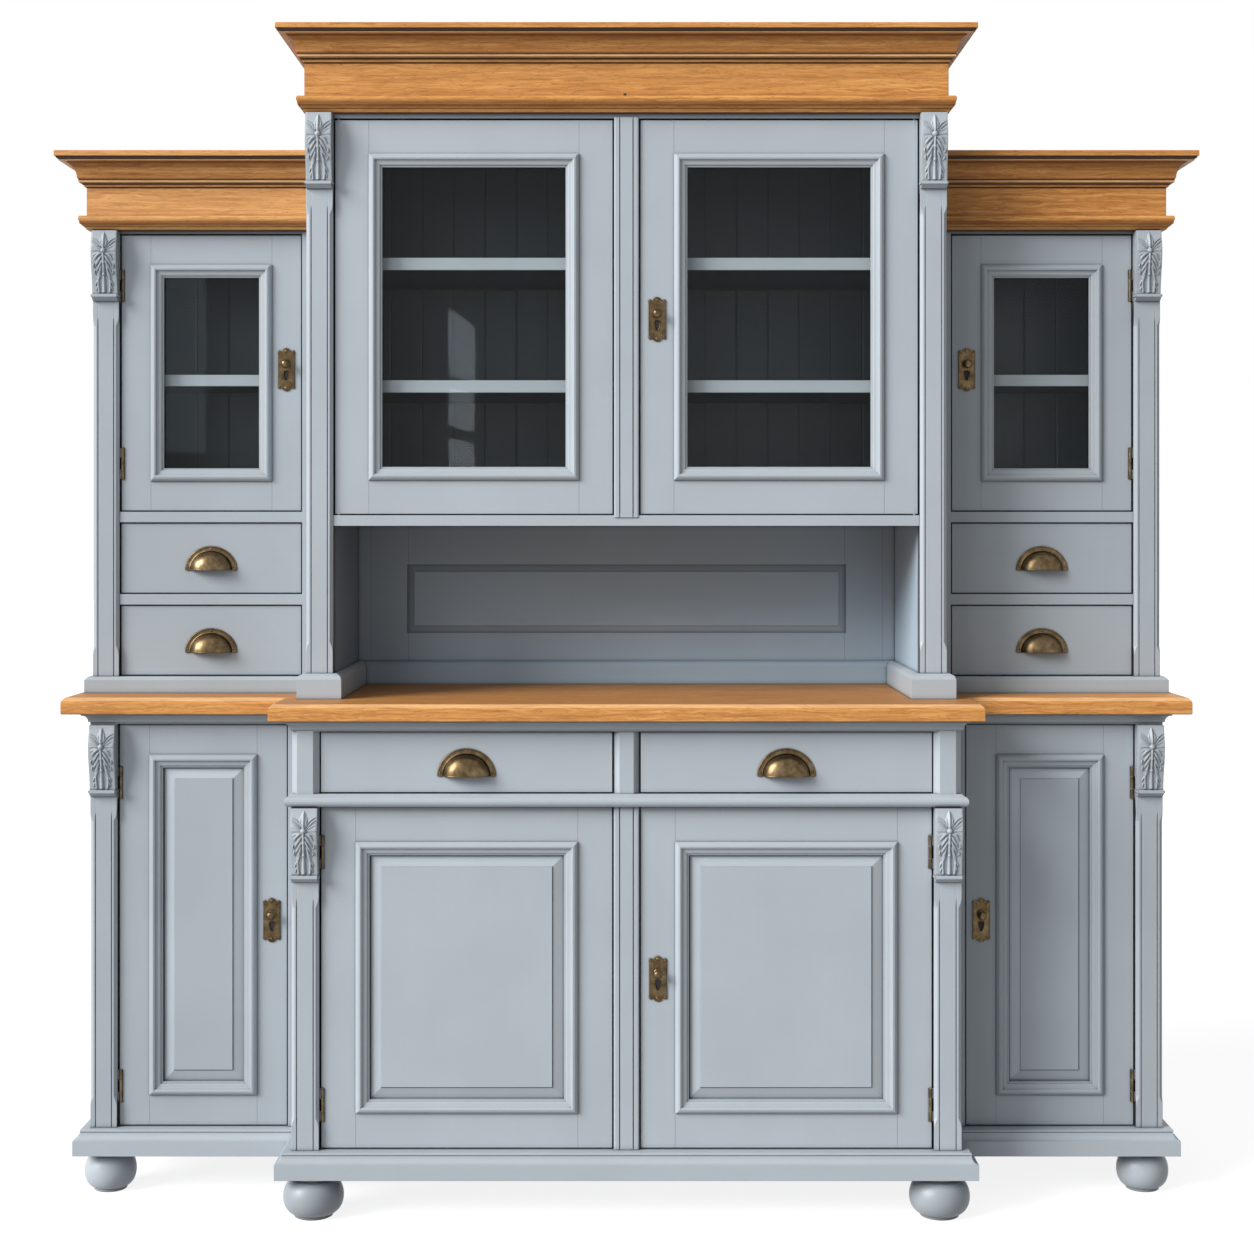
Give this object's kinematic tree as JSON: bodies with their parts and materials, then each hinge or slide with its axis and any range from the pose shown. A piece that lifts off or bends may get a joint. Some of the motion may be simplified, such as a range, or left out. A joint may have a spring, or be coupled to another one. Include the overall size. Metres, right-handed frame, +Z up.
{
  "type": "breakfront kitchen dresser",
  "caption": "Breakfront kitchen dresser: painted cupboards and drawers below an oak worktop, open niche, glazed upper cupboards, oak cornices and brass pulls.",
  "frame": {"origin": "on the floor, under the middle of the dresser's outer box", "axes": "+X to the viewer's right, +Y from the front to the wall, +Z up; the doors and drawers face -Y"},
  "size_m": [2.088, 0.495, 2.097],
  "materials": {
    "paint": "satin grey-blue paint on wood",
    "oak": "oiled oak",
    "brass": "antique brass",
    "glass": "clear glass"
  },
  "bodies": {
    "dresser": {"worktop": "oak", "plinth": "paint", "base_centre_carcass": "paint", "upper_centre_carcass": "paint", "cornice_centre": "oak", "cornice_left": "oak", "cornice_right": "oak", "niche_back_panel": "paint", "lower_shelf": "paint", "upper_shelf": "paint", "base_left_carcass": "paint", "upper_left_carcass": "paint", "centre_left_foot": "paint", "wing_left_foot": "paint", "base_centre_left_pilaster": "paint", "base_left_pilaster": "paint", "upper_centre_left_pilaster": "paint", "upper_left_pilaster": "paint", "base_right_carcass": "paint", "upper_right_carcass": "paint", "centre_right_foot": "paint", "wing_right_foot": "paint", "base_centre_right_pilaster": "paint", "base_right_pilaster": "paint", "upper_centre_right_pilaster": "paint", "upper_right_pilaster": "paint"},
    "door_base_centre_left": {"base_centre_left_door_frame": "paint", "base_centre_left_door_panel": "paint"},
    "door_base_left": {"base_left_door_frame": "paint", "base_left_door_panel": "paint", "base_left_door_escutcheon": "brass"},
    "door_upper_centre_left": {"upper_centre_left_door_frame": "paint", "upper_centre_left_door_glass": "glass"},
    "door_upper_left": {"upper_left_door_frame": "paint", "upper_left_door_glass": "glass", "upper_left_door_escutcheon": "brass"},
    "slide_base_left_drawer": {"base_left_drawer": "paint", "base_left_drawer_pull": "brass"},
    "slide_upper_left_lower_drawer": {"upper_left_lower_drawer": "paint", "upper_left_lower_drawer_pull": "brass"},
    "slide_upper_left_upper_drawer": {"upper_left_upper_drawer": "paint", "upper_left_upper_drawer_pull": "brass"},
    "door_base_centre_right": {"base_centre_right_door_frame": "paint", "base_centre_right_door_panel": "paint", "base_centre_right_door_escutcheon": "brass"},
    "door_base_right": {"base_right_door_frame": "paint", "base_right_door_panel": "paint", "base_right_door_escutcheon": "brass"},
    "door_upper_centre_right": {"upper_centre_right_door_frame": "paint", "upper_centre_right_door_glass": "glass", "upper_centre_right_door_escutcheon": "brass"},
    "door_upper_right": {"upper_right_door_frame": "paint", "upper_right_door_glass": "glass", "upper_right_door_escutcheon": "brass"},
    "slide_base_right_drawer": {"base_right_drawer": "paint", "base_right_drawer_pull": "brass"},
    "slide_upper_right_lower_drawer": {"upper_right_lower_drawer": "paint", "upper_right_lower_drawer_pull": "brass"},
    "slide_upper_right_upper_drawer": {"upper_right_upper_drawer": "paint", "upper_right_upper_drawer_pull": "brass"}
  },
  "joints": [
    {"name": "base_centre_left_door_hinge", "type": "hinge", "parent": "dresser", "child": "door_base_centre_left", "pos_m": [-0.5308, -0.2085, 0.42], "axis": [0, 0, -1], "range_deg": [0, 95]},
    {"name": "base_left_door_hinge", "type": "hinge", "parent": "dresser", "child": "door_base_left", "pos_m": [-0.9168, -0.0685, 0.485], "axis": [0, 0, -1], "range_deg": [0, 95]},
    {"name": "upper_centre_left_door_hinge", "type": "hinge", "parent": "dresser", "child": "door_upper_centre_left", "pos_m": [-0.5155, -0.1135, 1.582], "axis": [0, 0, -1], "range_deg": [0, 95]},
    {"name": "upper_left_door_hinge", "type": "hinge", "parent": "dresser", "child": "door_upper_left", "pos_m": [-0.9338, 0.0165, 1.492], "axis": [0, 0, -1], "range_deg": [0, 95]},
    {"name": "base_left_drawer_slide", "type": "slide", "parent": "dresser", "child": "slide_base_left_drawer", "axis": [0, -1, 0], "range_m": [0, 0.29]},
    {"name": "upper_left_lower_drawer_slide", "type": "slide", "parent": "dresser", "child": "slide_upper_left_lower_drawer", "axis": [0, -1, 0], "range_m": [0, 0.14]},
    {"name": "upper_left_upper_drawer_slide", "type": "slide", "parent": "dresser", "child": "slide_upper_left_upper_drawer", "axis": [0, -1, 0], "range_m": [0, 0.14]},
    {"name": "base_centre_right_door_hinge", "type": "hinge", "parent": "dresser", "child": "door_base_centre_right", "pos_m": [0.5308, -0.2085, 0.42], "axis": [0, 0, 1], "range_deg": [0, 95]},
    {"name": "base_right_door_hinge", "type": "hinge", "parent": "dresser", "child": "door_base_right", "pos_m": [0.9168, -0.0685, 0.485], "axis": [0, 0, 1], "range_deg": [0, 95]},
    {"name": "upper_centre_right_door_hinge", "type": "hinge", "parent": "dresser", "child": "door_upper_centre_right", "pos_m": [0.5155, -0.1135, 1.582], "axis": [0, 0, 1], "range_deg": [0, 95]},
    {"name": "upper_right_door_hinge", "type": "hinge", "parent": "dresser", "child": "door_upper_right", "pos_m": [0.9338, 0.0165, 1.492], "axis": [0, 0, 1], "range_deg": [0, 95]},
    {"name": "base_right_drawer_slide", "type": "slide", "parent": "dresser", "child": "slide_base_right_drawer", "axis": [0, -1, 0], "range_m": [0, 0.29]},
    {"name": "upper_right_lower_drawer_slide", "type": "slide", "parent": "dresser", "child": "slide_upper_right_lower_drawer", "axis": [0, -1, 0], "range_m": [0, 0.14]},
    {"name": "upper_right_upper_drawer_slide", "type": "slide", "parent": "dresser", "child": "slide_upper_right_upper_drawer", "axis": [0, -1, 0], "range_m": [0, 0.14]}
  ]
}
